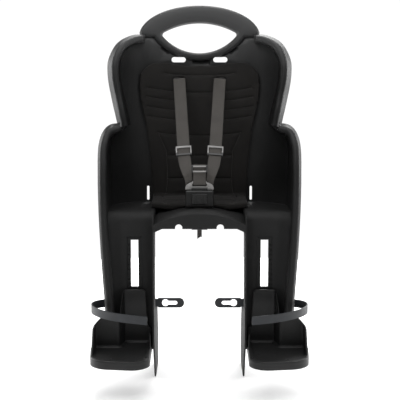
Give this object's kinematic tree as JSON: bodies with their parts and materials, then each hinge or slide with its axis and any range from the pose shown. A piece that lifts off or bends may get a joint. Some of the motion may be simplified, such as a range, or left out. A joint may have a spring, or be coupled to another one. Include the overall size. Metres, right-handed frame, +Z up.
{
  "type": "child bike seat",
  "caption": "Rear child seat for a bicycle: moulded bucket with head wings, leg guards and carrying handle, grooved pad, harness with buckle, sliding footrests and a clamp for carrier rods.",
  "frame": {"origin": "middle of the bounding box in plan, at the bottom of the spoke guards", "axes": "+X to the right of someone facing the seat, +Y towards the backrest, +Z up"},
  "size_m": [0.4308, 0.3517, 0.7553],
  "materials": {
    "shell": "moulded, satin sheen",
    "pad_fabric": "foam skin with embossed grooves",
    "webbing": "woven",
    "slide_grey": "moulded, satin",
    "buckle": "moulded, semi gloss",
    "button": "moulded, semi gloss",
    "footrest": "moulded, satin sheen",
    "band_rubber": "smooth, dull",
    "screw_steel": "zinc plated",
    "clamp": "moulded, fine grain",
    "reflector_red": "clear red prism back"
  },
  "bodies": {
    "seat": {"buckle_body": "buckle", "buckle_cover": "buckle", "buckle_stop": "buckle", "buckle_strap": "webbing", "reflector": "reflector_red", "rod_block": "clamp", "rod_bolts": "screw_steel", "rod_nuts": "screw_steel", "rod_plate": "clamp", "seat_pad": "pad_fabric", "seat_shell": "shell", "shoulder_strap_left": "webbing", "shoulder_strap_right": "webbing", "strap_anchor_left": "buckle", "strap_anchor_right": "buckle", "tongue": "slide_grey", "tongue_loop": "webbing", "tongue_slide": "slide_grey"},
    "footrest_right": {"footrest_right": "footrest", "footrest_clip_right": "footrest", "footrest_screws_right": "screw_steel", "foot_band_right": "band_rubber"},
    "footrest_left": {"footrest_left": "footrest", "footrest_clip_left": "footrest", "footrest_screws_left": "screw_steel", "foot_band_left": "band_rubber"},
    "button": {"buckle_button": "button"},
    "adjuster_right": {"strap_adjuster_right": "slide_grey"},
    "adjuster_left": {"strap_adjuster_left": "slide_grey"}
  },
  "joints": [
    {"name": "footrest_right_slide", "type": "slide", "parent": "seat", "child": "footrest_right", "axis": [0, 0, 1], "range_m": [0, 0.08]},
    {"name": "footrest_left_slide", "type": "slide", "parent": "seat", "child": "footrest_left", "axis": [0, 0, 1], "range_m": [0, 0.08]},
    {"name": "buckle_press", "type": "slide", "parent": "seat", "child": "button", "axis": [0, 1, 0], "range_m": [0, 0.002], "stiffness_N_per_m": 600},
    {"name": "adjuster_right_slide", "type": "slide", "parent": "seat", "child": "adjuster_right", "axis": [0.0596, 0.6569, 0.7516], "range_m": [0, 0.08]},
    {"name": "adjuster_left_slide", "type": "slide", "parent": "seat", "child": "adjuster_left", "axis": [-0.0596, 0.6569, 0.7516], "range_m": [0, 0.08]}
  ]
}
